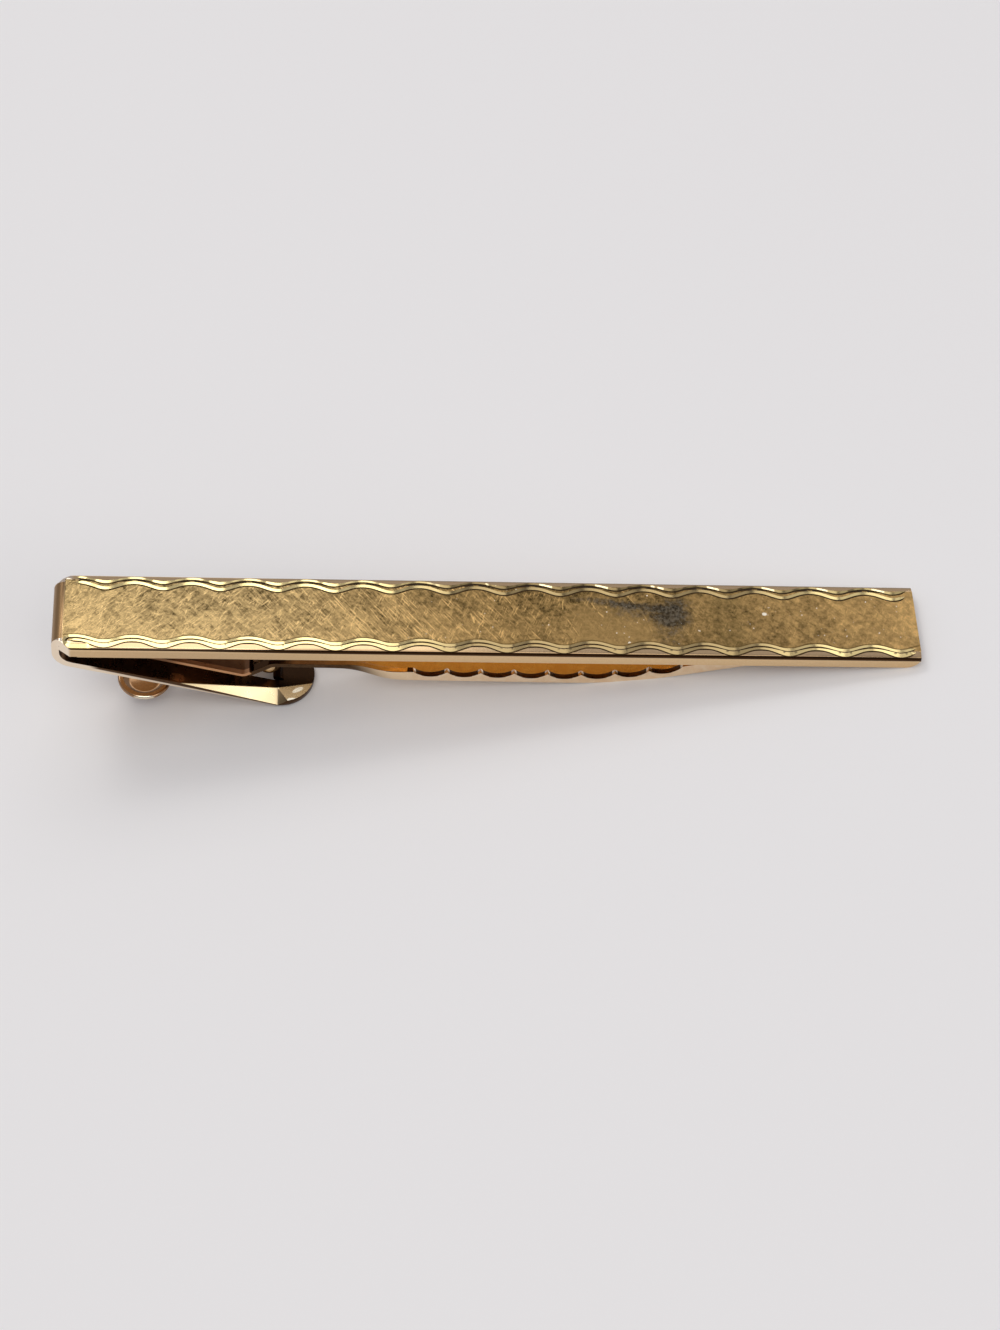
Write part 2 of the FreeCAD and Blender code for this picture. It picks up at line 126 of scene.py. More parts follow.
# Both corners at the left end are closed by a web of sheet between the fold and the end of the folded edge.
# The blocks are set in a little from the bar's own faces, so that no two faces lie in one plane.
corner_inset = 0.036
corner_step = 0.01
corner_wall = 0.42
corner_low = 7.31
corner_high = 8.13
corner_outer = Vector((-28.74, edge - corner_inset))
corner_inner = Vector((-29.752, 2.327))
corner_height = corner_high - corner_low
corner_middle = (corner_high + corner_low) / 2
corner_run = corner_outer - corner_inner
corner_in = Vector((corner_run.y, -corner_run.x)).normalized() * (corner_wall / 2)
web_middle = (corner_outer + corner_inner) / 2 + corner_in
web_turn = math.atan2(corner_run.y, corner_run.x)
edge_run = 0.83
edge_middle = corner_outer + Vector((edge_run, -corner_wall)) / 2
for side in (1, -1):
    web_place = Vector((web_middle.x, side * web_middle.y, corner_middle))
    edge_place = Vector((edge_middle.x, side * edge_middle.y, corner_middle))
    web = sheet_block(corner_run.length, corner_wall, corner_height, web_place, side * web_turn)
    edge_end = sheet_block(edge_run, corner_wall, corner_height - corner_step, edge_place, 0.0)
    modify(web, "BOOLEAN", object=edge_end, operation="UNION", solver="EXACT")
    bpy.data.objects.remove(edge_end)
    modify(bar, "BOOLEAN", object=web, operation="UNION", solver="EXACT")
    bpy.data.objects.remove(web)

# The border lines: two waves along each long side. The inner front one turns back in a loop at the left.
wave_length = 3.93
first_dip = -26.45
line_step = 0.1
run_out = 0.4
run_out_tip = 0.02
inner_dip = -2.66
inner_height = 0.42
loop_x = -28.65
loop_y = -2.65
loop_radius = 0.41
loop_steps = 15


def wave_angle(x):
    """Angle of the engraved wave at a place on X, for a number or a shader value. It is 0 at a dip."""
    return (x - first_dip) * (2.0 * math.pi / wave_length)


def rounded(swing):
    """Turns an even swing from 0 to 1 into one with wide round crests and narrow dips."""
    return swing * (1.3 - 0.3 * swing)


def on_front(x, y):
    """Point on the front face, which slopes down along both long margins."""
    return Vector((x, y, front - max(0.0, abs(y) - edge + margin) * margin_fall))


def wavy_line(start, end, dip, height):
    """Points along a wavy line between two places on X."""
    count = int((end - start) / line_step)
    run = [start + (end - start) * step / count for step in range(count + 1)]
    return [on_front(x, dip + height * rounded(0.5 - 0.5 * math.cos(wave_angle(x)))) for x in run]


def groove(name, path, bright_width, dark_width, depth):
    """Cutter with a lopsided V section along a path, one wall bright and one painted dark as shade, run out
    at both ends.
    """
    verts = []
    faces = []
    length = [0.0]
    way = math.copysign(1.0, path[1].x - path[0].x)
    for a, b in zip(path, path[1:]):
        length.append(length[-1] + (b - a).length)
    for index, place in enumerate(path):
        before = path[max(index - 1, 0)]
        after = path[min(index + 1, len(path) - 1)]
        along = (after - before).normalized()
        side = Vector((0, 0, way)).cross(along).normalized()
        from_end = min(length[index], length[-1] - length[index])
        share = min(1.0, (run_out_tip + from_end) / run_out)
        deep = Vector((0, 0, depth * share))
        # The section stands as far above the face as below it, so its top is twice as wide as the groove.
        bright = place + side * (2.0 * bright_width * share) + deep
        dark = place - side * (2.0 * dark_width * share) + deep
        verts += [bright * mm, dark * mm, (place - deep) * mm]
    for index in range(len(path) - 1):
        a = 3 * index
        for left, right in ((0, 1), (1, 2), (2, 0)):
            faces.append((a + left, a + right, a + 3 + right, a + 3 + left))
    faces += [(2, 1, 0), (3 * len(path) - 3, 3 * len(path) - 2, 3 * len(path) - 1)]
    mesh = bpy.data.meshes.new(name)
    mesh.from_pydata(verts, [], faces)
    for index, (a, b) in enumerate(zip(path, path[1:])):
        if way * (b.x - a.x) > 0:
            mesh.polygons[3 * index + 1].material_index = 1
    cutter = bpy.data.objects.new(name, mesh)
    bpy.context.scene.collection.objects.link(cutter)
    pick(cutter)
    bpy.ops.object.mode_set(mode="EDIT")
    bpy.ops.mesh.select_all(action="SELECT")
    bpy.ops.mesh.normals_make_consistent(inside=False)
    bpy.ops.object.mode_set(mode="OBJECT")
    return cutter


inner = wavy_line(loop_x, 29.65, inner_dip, inner_height)
loop = []
for step in range(1, loop_steps + 1):
    angle = math.pi * (0.5 + step / loop_steps)
    loop.append(on_front(loop_x + loop_radius * math.cos(angle), loop_y + loop_radius * math.sin(angle)))
loop_end = [on_front(loop_x + line_step * step, loop_y - loop_radius) for step in range(1, loop_steps + 1)]

# Each line has a name, a path, the widths of its bright and its dark wall, and a depth.
lines = (
    ("front_inner", list(reversed(inner)) + loop + loop_end, 0.14, 0.17, 0.08),
    ("front_outer", wavy_line(-28.8, 29.65, -3.0, 0.45), 0.11, 0.30, 0.07),
    ("back_outer", wavy_line(-28.55, 29.55, 2.40, 0.47), 0.15, 0.18, 0.085),
    ("back_inner", wavy_line(-28.5, 29.45, 1.86, 0.5), 0.16, 0.18, 0.09),
)


class Socket:
    """A shader value that takes part in plain Python arithmetic."""

    def __init__(self, shader, socket):
        self.shader = shader
        self.socket = socket

    def maths(self, operation, *others):
        inputs = dict(enumerate((self, *others)))
        return self.shader.node("ShaderNodeMath", {"operation": operation}, inputs)

    def __add__(self, other):
        return self.maths("ADD", other)

    def __sub__(self, other):
        return self.maths("SUBTRACT", other)

    def __rsub__(self, other):
        return self.maths("MULTIPLY", -1.0) + other

    def __mul__(self, other):
        return self.maths("MULTIPLY", other)

    __radd__ = __add__
    __rmul__ = __mul__

    def size(self):
        """The value without its sign."""
        return self.maths("ABSOLUTE")

    def rise(self, start, end):
        """0 before start, 1 after end, and a smooth step between."""
        settings = {"interpolation_type": "SMOOTHSTEP"}
        sockets = {"Value": self, "From Min": start, "From Max": end}
        return self.shader.node("ShaderNodeMapRange", settings, sockets)

    def fall(self, start, end):
        """1 before start, 0 after end, and a smooth step between."""
        return 1.0 - self.rise(start, end)

    def bump(self, centre, width):
        """1 at the centre, falling smoothly to 0 at a width to either side."""
        return (self - centre).size().fall(0.0, width)


class Shader:
    """A material with one Principled surface. Its place, x, y and z are on the piece, in millimetres."""

    def __init__(self, name):
        self.material = bpy.data.materials.new(name)
        self.material.use_nodes = True
        self.tree = self.material.node_tree
        self.surface = self.tree.nodes["Principled BSDF"]
        metres = self.node("ShaderNodeTexCoord", output="Object")
        scaled = {0: metres, "Scale": 1.0 / mm}
        self.place = self.node("ShaderNodeVectorMath", {"operation": "SCALE"}, scaled)
        self.x = self.node("ShaderNodeSeparateXYZ", {}, {0: self.place}, 0)
        self.y = self.node("ShaderNodeSeparateXYZ", {}, {0: self.place}, 1)
        self.z = self.node("ShaderNodeSeparateXYZ", {}, {0: self.place}, 2)

    def node(self, kind, settings=None, sockets=None, output=0):
        """Adds a node, sets its settings and then its socket values or links, and gives one output."""
        made = self.tree.nodes.new(kind)
        for name, value in (settings or {}).items():
            setattr(made, name, value)
        self.plug(made, sockets or {})
        return Socket(self, made.outputs[output])

    def plug(self, made, sockets):
        """Sets or links the sockets of a node."""
        for name, value in sockets.items():
            if isinstance(value, Socket):
                self.tree.links.new(value.socket, made.inputs[name])
            else:
                made.inputs[name].default_value = value

    def metal(self, colour, roughness, **others):
        """Makes the surface a metal with a colour and a roughness, and gives the material."""
        self.plug(self.surface, {"Base Color": colour, "Roughness": roughness, "Metallic": 1.0, **others})
        return self.material

    def strokes(self, angle, length, width):
        """Place counted in strokes, whose angle is in degrees and length and width in millimetres."""
        turned = (0.0, 0.0, math.radians(angle))
        sockets = {"Vector": self.place, "Rotation": turned, "Scale": (length, width, 1.0)}
        return self.node("ShaderNodeMapping", {"vector_type": "TEXTURE"}, sockets)

    def noise(self, place, scale, detail=4.0, roughness=0.55):
        sockets = {"Vector": place, "Scale": scale, "Detail": detail, "Roughness": roughness}
        return self.node("ShaderNodeTexNoise", {}, sockets)

    def flakes(self, angle, length, width):
        """A grey value that changes from one small stroke-shaped cell to the next."""
        sockets = {"Vector": self.strokes(angle, length, width), "Scale": 1.0}
        cells = self.node("ShaderNodeTexVoronoi", {"feature": "F1"}, sockets, "Color")
        return self.node("ShaderNodeSeparateColor", {}, {0: cells}, 0)

    def mix(self, share, first, second):
        """The first colour where the share is 0 and the second where it is 1."""
        return self.node("ShaderNodeMix", {"data_type": "RGBA"}, {0: share, 6: first, 7: second}, 2)

    def relief(self, height):
        """Normals of a relief whose height is in millimetres."""
        return self.node("ShaderNodeBump", {}, {"Height": height, "Strength": 1.0, "Distance": mm})


satin_shade = (0.040, 0.026, 0.008, 1.0)
satin_gold = (0.84, 0.535, 0.20, 1.0)
satin_pale = (0.86, 0.61, 0.27, 1.0)
lip_shade = (0.09, 0.058, 0.016, 1.0)
olive_film = (0.14, 0.10, 0.035, 1.0)
stain_black = (0.016, 0.016, 0.014, 1.0)
stain_grey = (0.13, 0.115, 0.088, 1.0)
nick_metal_and_glint = (0.95, 0.88, 0.72, 1.0)
polish_gold = (0.80, 0.565, 0.31, 1.0)
polish_pale = (0.84, 0.61, 0.35, 1.0)
side_shade_brown = (0.30, 0.16, 0.08, 1.0)
edge_shade_brown = (0.05, 0.022, 0.008, 1.0)
bend_shade_brown = (0.34, 0.21, 0.10, 1.0)
table_reflection_pale = (0.94, 0.79, 0.61, 1.0)
rim_shade_brown = (0.10, 0.05, 0.022, 1.0)

gilt = Shader("gilded_bar")
satin = gilt.z.rise(front - 0.006, front - 0.002)

# The satin front: cloudy and sandy metal with brushed strokes in three directions, bright or scored, small
# flakes that show most on the left, and a few hair scratches near the middle.
painted_light_left = gilt.x.fall(-34.0, 3.0)
painted_light_right = gilt.x.rise(14.0, 33.0)
left_of_middle = gilt.x.bump(-7.0, 14.0)
fine = gilt.noise(gilt.place, 9.0, 3.0)
cloud = gilt.noise(gilt.place, 0.45, 5.0)
sand = gilt.noise(gilt.place, 2.6, 6.0, 0.72)
falling = gilt.noise(gilt.strokes(-52.0, 1.4, 0.11), 1.0, 2.0, 0.6)
rising = gilt.noise(gilt.strokes(42.0, 1.1, 0.12), 1.0, 2.0, 0.6)
steep = gilt.noise(gilt.strokes(68.0, 0.8, 0.10), 1.0, 2.0, 0.6)
worn = 0.35 + 0.65 * gilt.noise(gilt.place, 0.9, 3.0).rise(0.40, 0.60)
scratch = falling.rise(0.54, 0.66) * (0.2 + 0.8 * left_of_middle)
scratch = scratch + rising.rise(0.55, 0.67) * gilt.x.fall(-22.0, -4.0)
scratch = worn * (scratch + 0.7 * steep.rise(0.56, 0.68) * (1.0 - 0.6 * gilt.x.rise(2.0, 10.0)))
scored = falling.fall(0.33, 0.46) * gilt.x.bump(-9.0, 15.0)
scored = worn * (scored + rising.fall(0.33, 0.46) * gilt.x.fall(-24.0, -6.0))
hair = gilt.noise(gilt.strokes(-58.0, 9.0, 3.0), 1.0, 1.0).bump(0.5, 0.012) * worn.rise(0.55, 0.9)
hair = hair * gilt.x.rise(-12.0, -6.0) * gilt.x.fall(9.0, 13.0)
flake_left = gilt.flakes(48.0, 0.50, 0.22)
flake_right = gilt.flakes(-40.0, 0.55, 0.20)
flake = flake_left + gilt.x.rise(-27.0, -22.0) * (flake_right - flake_left)
flake = (flake - 0.5) * (0.25 + 0.75 * gilt.x.fall(-16.0, 4.0) + 0.35 * gilt.x.rise(13.0, 18.0))
fleck = gilt.noise(gilt.strokes(-9.0, 0.9, 0.13), 1.0, 1.0).rise(0.66, 0.74)
fleck = fleck + gilt.noise(gilt.strokes(33.0, 0.6, 0.12), 1.0, 1.0).rise(0.66, 0.74)

# How light the satin is: painted light at both ends, blotched on the right, smooth in one rubbed patch.
mottle = gilt.noise(gilt.place, 1.5, 3.0).rise(0.47, 0.60) * gilt.x.rise(12.0, 22.0)
smoother = gilt.x.rise(5.2, 6.2) * gilt.x.fall(10.8, 12.2) * gilt.y.fall(0.2, 1.2)
tone = 0.25 + 0.12 * mottle + 0.34 * painted_light_left + 0.30 * painted_light_right + 0.07 * smoother
tone = tone + 0.11 * left_of_middle + 0.08 * gilt.x.rise(27.8, 29.2)
# Painted shade across the left and the middle: darker towards the back edge, lighter towards the front.
tone = tone - 0.06 * (gilt.y + 0.9) * gilt.x.fall(4.0, 14.0) * (0.5 + 0.5 * painted_light_left)
grit = 0.45 * (cloud - 0.5) + 0.95 * (sand - 0.5) + 0.55 * scratch - 0.18 * scored + 0.20 * flake
grit = grit * (1.25 + 0.25 * painted_light_left) + 0.40 * fleck * painted_light_left
tone = tone + grit * (1.0 - 0.5 * smoother) + 0.4 * hair
light_gold = gilt.mix(gilt.x.fall(-20.0, 3.0), satin_gold, satin_pale)
field = gilt.mix(tone, satin_shade, light_gold)

# A painted dark shade line along the inner front line, on the side of the field.
lip_gap = 0.20
swing = 0.5 - 0.5 * wave_angle(gilt.x).maths("COSINE")
lip_shade_line = (gilt.y - (lip_gap + inner_dip) - inner_height * rounded(swing)).bump(0.0, 0.09)
field = gilt.mix(0.75 * lip_shade_line, field, lip_shade)

# The speckled stain and its leaning streak right of the middle, an olive film, a nick and a few painted
# glints.
speckle = gilt.noise(gilt.place, 1.9, 8.0, 0.78)
lean = gilt.y - (1.75 - 0.13 * (gilt.x - 5.0))
streak = lean.bump(0.0, 0.55) * gilt.x.rise(3.0, 8.0) * gilt.x.fall(11.5, 14.0)
haze = lean.bump(-0.7, 1.3) * gilt.x.rise(6.0, 10.5) * gilt.x.fall(12.5, 15.0)
patch = gilt.x.bump(12.9 + 0.25 * (gilt.y - 0.5), 2.1) * gilt.y.fall(1.3, 2.2)
patch = patch * (0.6 + 0.4 * gilt.y.rise(-2.4, 0.2))
stain = 0.75 * streak + 0.75 * haze + 0.9 * patch + 2.6 * (speckle - 0.5) + 0.6 * (sand - 0.5)
stain = stain.rise(0.15, 1.3)
olive = gilt.x.bump(16.7, 2.2) * (0.5 + cloud).rise(0.7, 1.2)
field = gilt.mix(olive * 0.5, field, olive_film)
soil = gilt.mix(gilt.noise(gilt.place, 4.2, 4.0, 0.7).rise(0.40, 0.62), stain_black, stain_grey)
field = gilt.mix(stain * 0.88, field, soil)
nick = (gilt.x.bump(19.25, 0.26) * gilt.y.bump(0.45, 0.2)).rise(0.1, 0.5)
glint = gilt.noise(gilt.place, 3.4, 1.0).rise(0.74, 0.78) * gilt.x.rise(-8.0, -2.0)
field = gilt.mix((nick + 0.8 * glint).maths("MINIMUM", 1.0), field, nick_metal_and_glint)

# The polished metal: painted shade on the left of the folded sides, a painted dark shade line under the
# front's rim, a dull bend at the left end painted brown as shade, the sides of the fold and the tongue
# painted pale as the table's reflection, and a painted dark shade line along the tongue's upper rim.
polish = gilt.mix(fine.rise(0.35, 0.75), polish_gold, polish_pale)
painted_side_shade = gilt.x.fall(-18.0, -4.0) * gilt.z.fall(front - 0.6, front - 0.4)
polish = gilt.mix(0.22 * painted_side_shade, polish, side_shade_brown)
painted_edge_shade = gilt.z.bump(front - 0.29, 0.10 + 0.15 * gilt.x.rise(-22.0, -12.0)).rise(0.1, 0.6)
polish = gilt.mix(painted_edge_shade, polish, edge_shade_brown)
at_side = gilt.y.size().rise(fold_width, fold_width + 0.05)
bend = gilt.x.fall(-29.32, -29.16) * (1.0 - at_side)
polish = gilt.mix(bend, polish, bend_shade_brown)
painted_side_reflection = at_side * (1.0 - gilt.x.rise(-28.9, -28.6) * gilt.z.rise(5.8, 6.2))
polish = gilt.mix(painted_side_reflection, polish, table_reflection_pale)
up_the_side = gilt.z + tongue_slope * (gilt.x - tongue_start) + 0.024 * (gilt.x + 22.0)
rim_shade_line = up_the_side.rise(5.36, 5.44) * gilt.x.rise(-27.6, -26.8) * gilt.z.fall(5.6, 6.0)
polish = gilt.mix(rim_shade_line, polish, rim_shade_brown)

rough_field = 0.33 + 0.16 * (cloud - 0.5) + 0.14 * stain + 0.20 * (sand - 0.5)
rough_polish = 0.08 + 0.08 * fine + 0.26 * bend
roughness = rough_polish + satin * (rough_field - rough_polish)
height = satin * (0.012 * sand + 0.010 * scratch + 0.008 * fine + 0.010 * flake)
gilding = gilt.metal(gilt.mix(satin, polish, field), roughness, Normal=gilt.relief(height))

# The inside of the fold is painted dark as shade, blackest on the foot's top, and the underside of the bar
# is orange further right. The tapered bevels along the tongue's edges are bright, with two painted glints
# on the round foot.
fold_shade_dark = (0.10, 0.05, 0.022, 1.0)
fold_shade_brown = (0.26, 0.135, 0.06, 1.0)
foot_shade_black = (0.020, 0.010, 0.005, 1.0)
warm_orange = (0.68, 0.34, 0.065, 1.0)
ember_orange = (0.62, 0.33, 0.15, 1.0)
bevel_pale = (0.99, 0.80, 0.47, 1.0)
bevel_brown = (0.50, 0.36, 0.19, 1.0)
foot_gleam = (1.0, 0.93, 0.74, 1.0)
bevel_start = -20.2
bevel_inner = 2.24
bevel_taper = 0.1725
bevel_fall = 0.47
dull = Shader("shaded_fold_inside")
fold_noise = dull.noise(dull.place, 1.1, 5.0)
beyond = dull.y.size() - (bevel_inner - bevel_taper * (dull.x - bevel_start))
on_tongue = dull.z.fall(5.0, 6.0)
bevel_depth = beyond.maths("MAXIMUM", 0.0) * on_tongue * bevel_fall
on_bevel = beyond.rise(0.0, 0.08) * on_tongue * dull.x.rise(-23.0, -21.0)
fold_inside_tone = dull.mix(fold_noise, fold_shade_dark, fold_shade_brown)
fold_inside_tone = dull.mix(on_tongue * dull.x.rise(-15.4, -14.6), fold_inside_tone, foot_shade_black)
fold_inside_tone = dull.mix(dull.x.rise(-12.0, -6.0), fold_inside_tone, warm_orange)
ember = (dull.x.bump(-21.5, 0.8) * dull.y.bump(-2.0, 0.5)).rise(0.15, 0.4) * on_tongue
fold_inside_tone = dull.mix(ember, fold_inside_tone, ember_orange)
bevel_gold = dull.mix(dull.x.rise(-14.7, -14.3), bevel_pale, bevel_brown)
gleam = dull.x.bump(-13.1, 0.6) * (dull.y - 0.45 * (dull.x + 13.1)).bump(-1.45, 0.3)
gleam = gleam + dull.x.bump(-13.5, 0.55) * dull.y.bump(-2.3, 0.25)
bevel_gold = dull.mix(gleam.rise(0.15, 0.5), bevel_gold, foot_gleam)
inside_colour = dull.mix(on_bevel, fold_inside_tone, bevel_gold)
shaded_fold_inside = dull.metal(inside_colour, 0.20 + 0.16 * fold_noise, Normal=dull.relief(bevel_depth * -1.0))

# The engraved lines: one wall is painted dark as shade. The other is bright, painted lighter on the left
# and at the right end and darker as shade in between; the outer back line is painted dim as shade but for a
# painted glint on each falling slope.
groove_shade_dark = (0.02, 0.011, 0.004, 1.0)
groove_shade_brown = (0.09, 0.052, 0.02, 1.0)
cut_shaded = (0.27, 0.20, 0.095, 1.0)
cut_lit = (0.93, 0.76, 0.36, 1.0)
cut_line_shade = (0.10, 0.07, 0.03, 1.0)
cut_glint = (0.74, 0.62, 0.37, 1.0)
groove_shade = Shader("engraved_shade")
groove_noise = groove_shade.noise(groove_shade.place, 3.0, 4.0)
engraved_wall_shade = groove_shade.metal(groove_shade.mix(groove_noise, groove_shade_dark, groove_shade_brown), 0.3 + 0.2 * groove_noise)
cut = Shader("bright_cut")
spark = cut.noise(cut.place, 2.2, 3.0)
lit_share = cut.x.fall(-14.0, 0.0) + 0.45 * cut.x.rise(17.0, 25.0)
wave_turn = wave_angle(cut.x)
back_line = (cut.y + 0.24 * wave_turn.maths("COSINE")).rise(2.33, 2.43) * cut.x.rise(-6.0, 0.0)
falling_glint = wave_turn.maths("SINE").bump(-1.0, 0.40) * cut.noise(cut.place, 0.9, 2.0).rise(0.36, 0.46)
cut_gold = cut.mix(lit_share, cut_shaded, cut_lit)
cut_gold = cut.mix(0.45 * back_line, cut_gold, cut_line_shade)
cut_gold = cut.mix(back_line * falling_glint.rise(0.2, 0.6), cut_gold, cut_glint)
bright_cut = cut.metal(cut_gold, 0.08 + 0.16 * spark)

for material in (gilding, shaded_fold_inside, engraved_wall_shade, bright_cut):
    bar.data.materials.append(material)
for name, path, bright_width, dark_width, depth in lines:
    cutter = groove(name, path, bright_width, dark_width, depth)
    cutter.data.materials.append(bright_cut)
    cutter.data.materials.append(engraved_wall_shade)
    modify(bar, "BOOLEAN", object=cutter, operation="DIFFERENCE", solver="EXACT", material_mode="TRANSFER")
    bpy.data.objects.remove(cutter)
smooth(bar, 28)
# Faces under the front, behind the folded edges, on the tongue and at the fold take the painted shade of
# the second material.
for face in bar.data.polygons:
    place = face.center / mm
    under_front = face.normal.z < -0.7 and place.z > front - sheet - 0.02 and abs(place.y) < inside_wall
    facing_in = place.y * face.normal.y < 0 and abs(face.normal.y) > 0.7
    edge_back = facing_in and place.z > edge_low and abs(place.y) < inside_wall
    tongue_top = face.normal.z > 0.6 and place.z < tongue_high
    fold_back = face.normal.x > 0.2 and place.x < fold_right and 5.0 < place.z < front - sheet
    if under_front or edge_back or tongue_top or fold_back:
        face.material_index = 1
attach(bar, "bar")
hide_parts("front_bar")


# Hinge pin
# A short brass wire through the knuckle and the lever's ears, riveted over into a low dome at both ends.
# It stays with the bar while the lever turns on it.

pin_brown = (0.52, 0.34, 0.17, 1.0)
pin_gold = (0.78, 0.55, 0.30, 1.0)
pin = merged_copy("hinge_pin", "hinge_pin_look")
smooth(pin, 40)
wire = Shader("pin_brass")
wear = wire.noise(wire.place, 6.0, 3.0)
pin.data.materials.append(wire.metal(wire.mix(wear, pin_brown, pin_gold), 0.16 + 0.14 * wear))
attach(pin, "bar")
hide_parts("hinge_pin")


# Jaw lever
# One pressed strip of gilded brass: the dished thumb pad, the tail, the neck with its two ears and the
# toothed trough that grips the tie. It turns on the hinge pin.

pad_centre = Vector((-23.85, 0.0))
pad_radius = 1.9
pad_height = 0.9
pad_round = 0.16
first_tooth = -5.175
tooth_pitch = 2.35
bright_tip = 0.17
rim_start = -7.0
rim_width = 1.99
neck_start = -15.5
neck_end = -5.6
neck_low = 3.0
jaw_gold = (0.93, 0.70, 0.46, 1.0)
jaw_pale = (1.0, 0.82, 0.60, 1.0)
pad_shade_brown = (0.30, 0.155, 0.065, 1.0)
tail_shade_brown = (0.07, 0.034, 0.014, 1.0)
pad_glint = (1.0, 0.90, 0.70, 1.0)
shade_dark = (0.035, 0.016, 0.006, 1.0)
shade_brown = (0.16, 0.085, 0.035, 1.0)
neck_gold = (0.95, 0.74, 0.50, 1.0)

lever = merged_copy("jaw_lever", "jaw_lever_look")
bpy.context.tool_settings.mesh_select_mode = (False, True, False)
bpy.ops.object.mode_set(mode="EDIT")
bpy.ops.mesh.select_all(action="DESELECT")
bpy.ops.object.mode_set(mode="OBJECT")
for line in lever.data.edges:
    ends = [lever.data.vertices[index].co / mm for index in line.vertices]
    level = all(abs(end.z - pad_height) < 0.02 for end in ends)
    line.select = level and all(abs((end.xy - pad_centre).length - pad_radius) < 0.03 for end in ends)
bpy.ops.object.mode_set(mode="EDIT")
bpy.ops.mesh.bevel(offset=pad_round * mm, segments=4)
bpy.ops.object.mode_set(mode="OBJECT")
soften(lever)
smooth(lever, 30)

# Gold along the jaw, painted brown as shade from the hinge to the pad and darkest where the tail rises to
# the hinge, with a painted glint on the pad's near rim.
jaw = Shader("gilded_jaw")
smudge = jaw.noise(jaw.place, 1.3, 5.0)
speck = jaw.noise(jaw.place, 7.0, 3.0)
gold = jaw.mix(smudge.rise(0.35, 0.7), jaw_gold, jaw_pale)
hinge_to_pad = jaw.x.fall(-14.6, -13.2)
gold = jaw.mix(hinge_to_pad * 0.85, gold, pad_shade_brown)
gold = jaw.mix(hinge_to_pad * jaw.z.rise(2.2, 3.2), gold, tail_shade_brown)
pad_glint_share = hinge_to_pad * jaw.y.fall(-1.80, -1.72) * jaw.z.fall(1.0, 1.4)
lever.data.materials.append(jaw.metal(jaw.mix(pad_glint_share, gold, pad_glint), 0.08 + 0.10 * speck))

# Painted shade on the rims between the tooth tips, and along the neck's edge until it turns into the bright
# rim of the jaw.
shade = Shader("tooth_shade")
tooth_shade_noise = shade.noise(shade.place, 2.5, 4.0)
lever.data.materials.append(shade.metal(shade.mix(tooth_shade_noise, shade_dark, shade_brown), 0.2 + 0.2 * tooth_shade_noise))
brow = Shader("neck_edge")
neck_shade_noise = brow.noise(brow.place, 2.5, 4.0)
neck_edge_shade = brow.mix(neck_shade_noise, shade_dark, shade_brown)
towards_jaw = (brow.x + 0.8 * (brow.z - 4.4)).rise(-9.6, -6.4)
lever.data.materials.append(brow.metal(brow.mix(towards_jaw, neck_edge_shade, neck_gold), 0.12 + 0.12 * neck_shade_noise))
# Rims between the tooth tips take the painted tooth shade, and the neck's side edges the painted neck
# shade.
for face in lever.data.polygons:
    place = face.center / mm
    past_tip = (place.x - first_tooth + tooth_pitch / 2) % tooth_pitch - tooth_pitch / 2
    on_rim = place.x > rim_start and abs(place.y) > rim_width and face.normal.z > 0.35
    on_neck = neck_start < place.x < neck_end and place.z > neck_low
    if on_rim and abs(past_tip) > bright_tip:
        face.material_index = 1
    elif on_neck and abs(face.normal.y) > 0.5:
        face.material_index = 2
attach(lever, "lever")
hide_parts("jaw_lever")


# Leaf spring
# A folded leaf of thin spring brass, toned to copper brown. Its upper leg lies under the bar and its lower
# leg presses on the lever's tail.

leaf_brown = (0.14, 0.065, 0.03, 1.0)
leaf_copper = (0.34, 0.18, 0.09, 1.0)
edge_copper = (0.74, 0.40, 0.20, 1.0)
leaf = merged_copy("leaf_spring", "leaf_spring_look")
smooth(leaf, 30)
copper = Shader("toned_spring")
toning = copper.noise(copper.place, 1.6, 4.0)
leaf_tone = copper.mix(toning, leaf_brown, leaf_copper)
cut_edge = copper.y.size().rise(1.30, 1.40) * copper.x.rise(-22.3, -20.6)
leaf.data.materials.append(copper.metal(copper.mix(cut_edge, leaf_tone, edge_copper), 0.22 + 0.16 * toning))
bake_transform(leaf)
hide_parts("leaf_spring")


# Floor, light and camera
# The clip lies face up on a pale table, resting on the tongue's foot and the free end, so the table is
# tilted against the bar. Soft boxes stand above, in front, at the right and behind, and a dark card that
# only reflections show stands low in front.

foot = Vector((-12.4, 0.0, 0.894)) * mm
far_end = Vector((29.3, 0.0, 7.31)) * mm
table_gap = Vector((0.0, 0.0, 0.02)) * mm
table_size = 4.0
tilt = math.atan2(far_end.z - foot.z, far_end.x - foot.x)
bpy.ops.object.select_all(action="DESELECT")
bpy.ops.mesh.primitive_plane_add(size=table_size, location=foot - table_gap, rotation=(0.0, -tilt, 0.0))
table = bpy.context.object
table.name = "table"
paper = Shader("pale_table")
paper_white = (0.87, 0.865, 0.86, 1.0)
paper.plug(paper.surface, {"Base Color": paper_white, "Roughness": 0.7, "Specular IOR Level": 0.2})
top_side = Socket(paper, paper.surface.outputs[0])
clear = paper.node("ShaderNodeBsdfTransparent")
from_below = paper.node("ShaderNodeNewGeometry", output="Backfacing")
seen = paper.node("ShaderNodeMixShader", {}, {0: from_below, 1: top_side, 2: clear})
paper.plug(paper.tree.nodes["Material Output"], {"Surface": seen})
table.data.materials.append(paper.material)

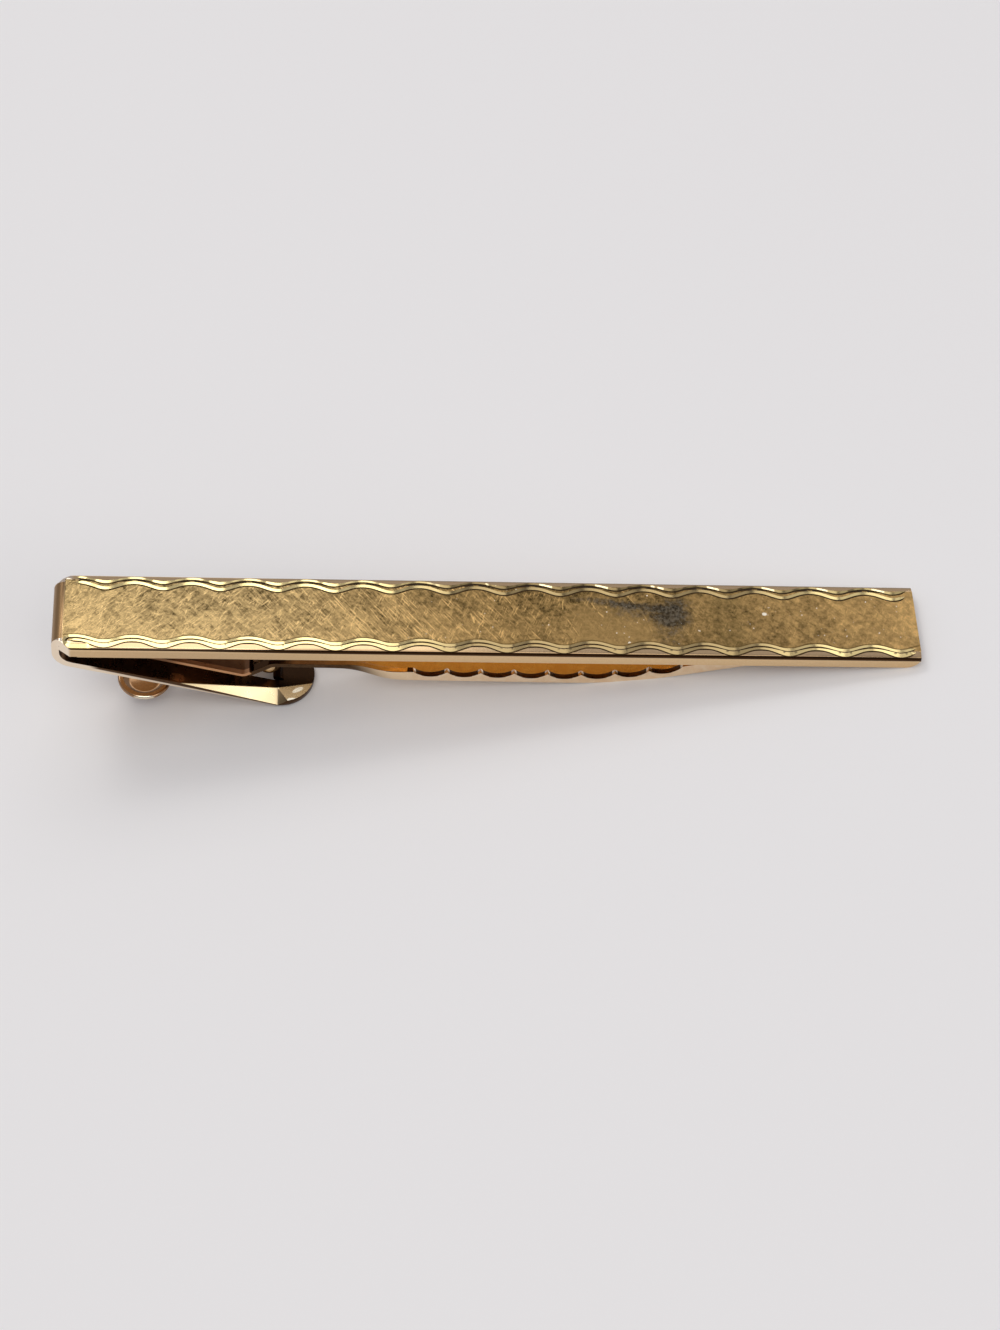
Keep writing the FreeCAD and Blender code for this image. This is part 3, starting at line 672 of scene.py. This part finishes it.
card_place = (0.0, -0.75, 0.09)
card_width = 2.4
card_height = 0.26
upright = (math.radians(90), 0.0, 0.0)
bpy.ops.mesh.primitive_plane_add(size=1.0, location=card_place, rotation=upright)
card = bpy.context.object
card.name = "dark_card"
card.scale = (card_width, card_height, 1.0)
card.visible_camera = False
black = Shader("dark_card")
card_black = (0.015, 0.012, 0.01, 1.0)
black.plug(black.surface, {"Base Color": card_black, "Roughness": 1.0, "Specular IOR Level": 0.0})
card.data.materials.append(black.material)


def soft_box(name, place, width, depth, watts, colour):
    """A rectangular lamp that faces the clip."""
    light = bpy.data.lights.new(name, "AREA")
    light.shape = "RECTANGLE"
    light.size = width
    light.size_y = depth
    light.energy = watts
    light.color = colour
    box = bpy.data.objects.new(name, light)
    bpy.context.scene.collection.objects.link(box)
    box.location = place
    box.rotation_euler = (-Vector(place)).to_track_quat("-Z", "Y").to_euler()


# The satin front mirrors the two boxes behind, the sloping margins the one overhead, the bright walls of
# the grooves the front one, and the tongue's bevels the low one at the right.
lamp_white = (1.0, 0.99, 0.96)
window_white = (1.0, 0.98, 0.95)
soft_box("overhead_box", (-0.13, -0.01, 0.62), 0.32, 0.36, 0.44, lamp_white)
soft_box("front_box", (-0.09, -0.33, 0.60), 0.50, 0.31, 0.95, lamp_white)
soft_box("side_box", (0.39, -0.31, 0.60), 0.35, 0.30, 0.25, lamp_white)
soft_box("low_box", (0.47, -0.58, 0.53), 0.30, 0.30, 0.57, lamp_white)
soft_box("back_box", (-0.05, 0.5, 0.55), 0.5, 0.3, 0.55, window_white)
soft_box("window_box", (-0.34, 0.34, 0.55), 0.24, 0.20, 0.72, window_white)
sky = bpy.data.worlds.new("studio")
sky.use_nodes = True
sky.node_tree.nodes["Background"].inputs["Color"].default_value = (0.95, 0.925, 1.0, 1.0)
sky.node_tree.nodes["Background"].inputs["Strength"].default_value = 0.40
bpy.context.scene.world = sky

# The camera's place, turn and lens were fitted to the edges of the bar in the photograph.
lens = bpy.data.cameras.new("camera")
lens.sensor_width = 36.0
lens.lens = 79.35
lens.clip_start = 0.01
lens.clip_end = 10.0
camera = bpy.data.objects.new("camera", lens)
bpy.context.scene.collection.objects.link(camera)
camera_place = Vector((-17.71, -121.28, 170.03)) * mm
right = Vector((0.9958, -0.0433, 0.0809))
up = Vector((-0.0124, 0.8103, 0.5858))
back = Vector((-0.0909, -0.5844, 0.8064))
turned = Matrix((right, up, back)).transposed().to_4x4()
camera.matrix_world = Matrix.Translation(camera_place) @ turned
bpy.context.scene.camera = camera
bpy.context.scene.view_settings.view_transform = "Standard"
